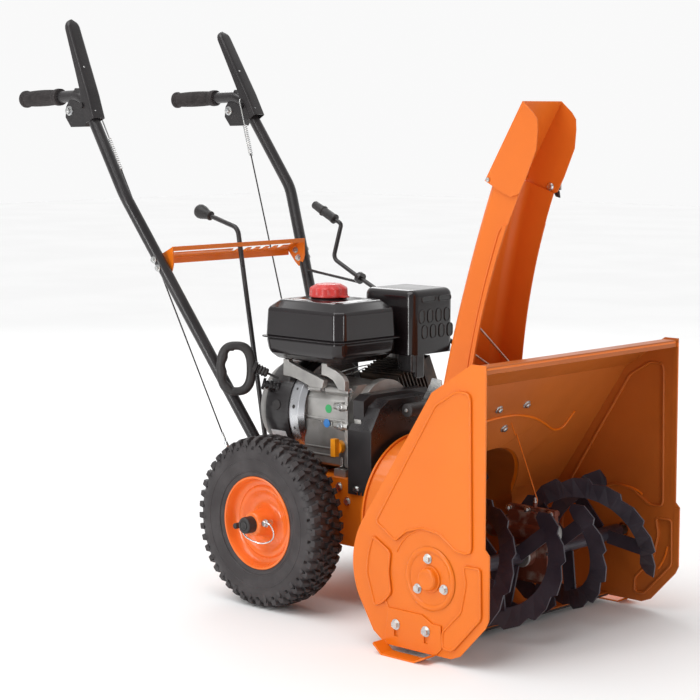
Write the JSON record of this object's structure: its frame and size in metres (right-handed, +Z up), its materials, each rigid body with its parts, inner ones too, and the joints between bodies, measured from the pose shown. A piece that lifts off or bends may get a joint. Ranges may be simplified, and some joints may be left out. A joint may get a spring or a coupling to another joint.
{
  "type": "snow blower",
  "caption": "Walk-behind two-stage petrol snow blower: toothed auger housing, turning chute with deflector, engine on a wheeled frame, two handlebars with levers.",
  "frame": {"origin": "centre of the bounding box in plan, on the ground under the machine", "axes": "+X forward to the auger, +Y to the operator's left, +Z up"},
  "size_m": [1.3314, 0.624, 1.1283],
  "materials": {
    "orange_paint": "semi-gloss powder coat",
    "rim_paint": "gloss paint",
    "black_paint": "satin powder coat",
    "engine_black": "gloss paint",
    "black_plastic": "fine grain",
    "grip_rubber": "ribbed rubber",
    "tyre_rubber": "moulded rubber",
    "cast_aluminium": "as cast",
    "bright_zinc": "zinc plated",
    "steel": "machined",
    "cast_iron": "sand cast, light rust",
    "bronze": "machined",
    "heat_black": "heat-proof matt black",
    "amber_plastic": "gloss",
    "cap_red": "gloss"
  },
  "bodies": {
    "chassis": {"side_plate_right": "orange_paint", "side_plate_left": "orange_paint", "housing_wrap": "orange_paint", "impeller_drum": "orange_paint", "scraper_bar": "black_paint", "skid_right": "orange_paint", "skid_left": "orange_paint", "auger_bearings": "black_paint", "gearbox": "cast_iron", "frame": "orange_paint", "crankcase": "cast_aluminium", "cylinder": "cast_aluminium", "fan_housing": "engine_black", "shroud_plate": "bright_zinc", "recoil_cover": "engine_black", "fuel_tank": "engine_black", "tank_brackets": "cast_aluminium", "muffler": "heat_black", "muffler_shield": "heat_black", "carb_cover": "black_plastic", "belts": "grip_rubber", "belt_cover": "black_paint", "handlebar_right": "black_paint", "handlebar_left": "black_paint", "grips": "grip_rubber", "lever_brackets": "black_plastic", "cables": "bright_zinc", "gate_panel": "orange_paint", "crank_bracket": "black_paint", "chute_gear_head": "black_paint", "bolts": "bright_zinc"},
    "wheels": {"axle": "steel", "rim_right": "rim_paint", "rim_left": "rim_paint", "tyre_right": "tyre_rubber", "tyre_left": "tyre_rubber", "wheel_pins": "bright_zinc"},
    "auger": {"auger_shaft": "steel", "auger_right": "black_paint", "auger_left": "black_paint", "worm_wheel": "bronze"},
    "impeller": {"impeller_shaft": "steel", "impeller": "black_paint", "auger_pulley": "steel"},
    "engine_shaft": {"crank_pulley": "steel"},
    "drive": {"drive_disc": "steel"},
    "chute": {"chute_ring": "black_paint", "chute": "orange_paint", "chute_guard": "bright_zinc"},
    "hood": {"chute_hood": "orange_paint", "hood_pins": "bright_zinc"},
    "chute_crank": {"crank_rod": "black_paint", "crank_grip": "black_plastic"},
    "right_lever": {"lever_right": "black_paint"},
    "left_lever": {"lever_left": "black_paint"},
    "gear_lever": {"shift_lever": "black_paint", "shift_knob": "black_plastic"},
    "tank_cap": {"fuel_cap": "cap_red"},
    "filler_plug": {"oil_plug": "amber_plastic"},
    "starter_handle": {"pull_handle": "black_plastic"}
  },
  "joints": [
    {"name": "wheel_roll", "type": "hinge", "parent": "chassis", "child": "wheels", "pos_m": [0.054, 0, 0.165], "axis": [0, 1, 0], "continuous": true},
    {"name": "auger_turn", "type": "hinge", "parent": "chassis", "child": "auger", "pos_m": [0.537, 0, 0.145], "axis": [0, 1, 0], "continuous": true},
    {"name": "impeller_turn", "type": "hinge", "parent": "chassis", "child": "impeller", "pos_m": [0.537, 0, 0.185], "axis": [1, 0, 0], "continuous": true},
    {"name": "engine_turn", "type": "hinge", "parent": "chassis", "child": "engine_shaft", "pos_m": [0.154, 0, 0.358], "axis": [1, 0, 0], "continuous": true},
    {"name": "drive_turn", "type": "hinge", "parent": "chassis", "child": "drive", "pos_m": [0.154, 0, 0.185], "axis": [1, 0, 0], "continuous": true},
    {"name": "chute_turn", "type": "hinge", "parent": "chassis", "child": "chute", "pos_m": [0.394, 0, 0.395], "axis": [0, 0, 1], "range_deg": [-90, 90]},
    {"name": "hood_tilt", "type": "hinge", "parent": "chute", "child": "hood", "pos_m": [0.472, 0, 0.822], "axis": [0, 1, 0], "range_deg": [0, 40]},
    {"name": "crank_turn", "type": "hinge", "parent": "chassis", "child": "chute_crank", "pos_m": [0.33, 0.196, 0.416], "axis": [0.9138, -0.0085, -0.4061], "range_deg": [-72, 72]},
    {"name": "right_lever_squeeze", "type": "hinge", "parent": "chassis", "child": "right_lever", "pos_m": [-0.444, -0.2222, 0.955], "axis": [0, -1, 0], "range_deg": [0, 36], "stiffness_Nm_per_rad": 3, "springref_deg": -20.05},
    {"name": "left_lever_squeeze", "type": "hinge", "parent": "chassis", "child": "left_lever", "pos_m": [-0.444, 0.2222, 0.955], "axis": [0, -1, 0], "range_deg": [0, 26], "stiffness_Nm_per_rad": 3, "springref_deg": -20.05},
    {"name": "gear_select", "type": "hinge", "parent": "chassis", "child": "gear_lever", "pos_m": [-0.165, 0.012, 0.228], "axis": [1, 0, 0], "range_deg": [-14, 18]},
    {"name": "cap_turn", "type": "hinge", "parent": "chassis", "child": "tank_cap", "pos_m": [0.06, -0.04, 0.585], "axis": [0, 0, 1], "range_deg": [0, 90]},
    {"name": "plug_turn", "type": "hinge", "parent": "chassis", "child": "filler_plug", "pos_m": [0.143, -0.092, 0.306], "axis": [0, -1, 0], "range_deg": [0, 360]},
    {"name": "starter_pull", "type": "slide", "parent": "chassis", "child": "starter_handle", "axis": [-0.0999, -0.9488, 0.2996], "range_m": [0, 0.25], "stiffness_N_per_m": 30, "springref_m": -0.1}
  ],
  "couplings": [
    {"joint": "impeller_turn", "follows": "auger_turn", "ratio": 10},
    {"joint": "crank_turn", "follows": "chute_turn", "ratio": 0.8}
  ]
}
